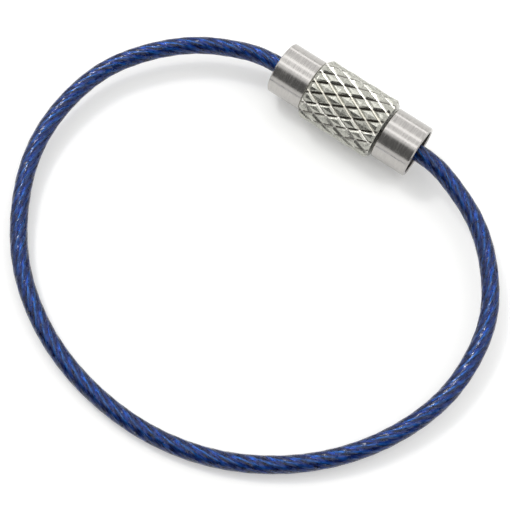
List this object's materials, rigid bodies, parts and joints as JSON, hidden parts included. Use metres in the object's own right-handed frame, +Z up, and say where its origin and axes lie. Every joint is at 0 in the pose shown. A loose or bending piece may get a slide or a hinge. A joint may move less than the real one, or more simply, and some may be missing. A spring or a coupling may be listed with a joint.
{
  "type": "cable key ring",
  "caption": "Loop of plastic-coated wire rope closed by a knurled screw clasp, for holding keys, tags or zip pullers.",
  "frame": {"origin": "centre of the clasp, on the surface that the ring lies on", "axes": "+X along the clasp from its stud end to its swivel end, +Y away from the cable loop, +Z up"},
  "size_m": [0.051, 0.0429, 0.0067],
  "materials": {
    "plated_sleeve": "nickel plate over a diamond knurl",
    "plated_ferrule": "polished nickel plate with fine turning marks",
    "turned_steel": "turned",
    "crimp_steel": "dull, pressed",
    "blue_coat": "glossy, see-through blue, over twisted strands",
    "rope_steel": "bright drawn wire, twisted"
  },
  "bodies": {
    "swivel_end": {"swivel_ferrule": "plated_ferrule", "swivel_pin": "turned_steel", "swivel_cable_collar": "crimp_steel", "cable_jacket_swivel_half": "blue_coat", "wire_rope_swivel_half": "rope_steel"},
    "sleeve": {"knurled_sleeve": "plated_sleeve"},
    "stud_end": {"stud_ferrule": "plated_ferrule", "threaded_stud": "turned_steel", "stud_cable_collar": "crimp_steel", "cable_jacket_stud_half": "blue_coat", "wire_rope_stud_half": "rope_steel"}
  },
  "joints": [
    {"name": "sleeve_spin", "type": "hinge", "parent": "swivel_end", "child": "sleeve", "pos_m": [0, 0, 0.00335], "axis": [1, 0, 0], "range_deg": [0, 3600]},
    {"name": "stud_travel", "type": "slide", "parent": "swivel_end", "child": "stud_end", "axis": [-1, 0, 0], "range_m": [0, 0.005]}
  ],
  "couplings": [
    {"joint": "sleeve_spin", "follows": "stud_travel", "rad_per_m": 12566}
  ]
}
